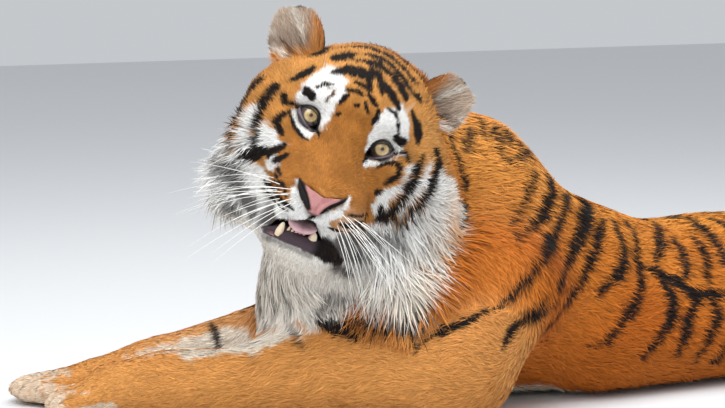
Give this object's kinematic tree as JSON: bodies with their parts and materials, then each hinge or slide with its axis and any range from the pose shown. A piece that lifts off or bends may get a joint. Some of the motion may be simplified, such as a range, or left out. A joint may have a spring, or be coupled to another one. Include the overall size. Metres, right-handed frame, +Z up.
{
  "type": "lying siberian tiger",
  "caption": "Life-size siberian tiger lying on its chest with the forelegs stretched out, head turned to its left and mouth slightly open; a still figure.",
  "frame": {"origin": "on the floor under the breastbone, between the elbows", "axes": "+Z up; the tiger faces -X, its tail end is +X and its left side is -Y"},
  "size_m": [2.089, 0.7746, 0.617],
  "materials": {
    "coat": "dense short fur, orange with black stripes and cream undersides",
    "eyes": "wet gloss",
    "nose": "moist grained skin",
    "tongue": "moist rough skin",
    "teeth": "smooth ivory"
  },
  "bodies": {
    "root": {"head": "coat", "muzzle": "coat", "lower_jaw": "coat", "nose": "nose", "tongue": "tongue", "lower_canine_left": "teeth", "lower_canine_right": "teeth", "lower_incisors": "teeth", "eye_left": "eyes", "eye_right": "eyes", "ear_left": "coat", "ear_right": "coat", "neck": "coat", "chest": "coat", "loin": "coat", "rump": "coat", "upper_foreleg_left": "coat", "forearm_left": "coat", "forepaw_left": "coat", "upper_foreleg_right": "coat", "forearm_right": "coat", "forepaw_right": "coat", "thigh_left": "coat", "shank_left": "coat", "hind_foot_left": "coat", "thigh_right": "coat", "shank_right": "coat", "hind_foot_right": "coat", "tail_base": "coat", "tail_middle": "coat", "tail_tip": "coat"}
  },
  "joints": []
}
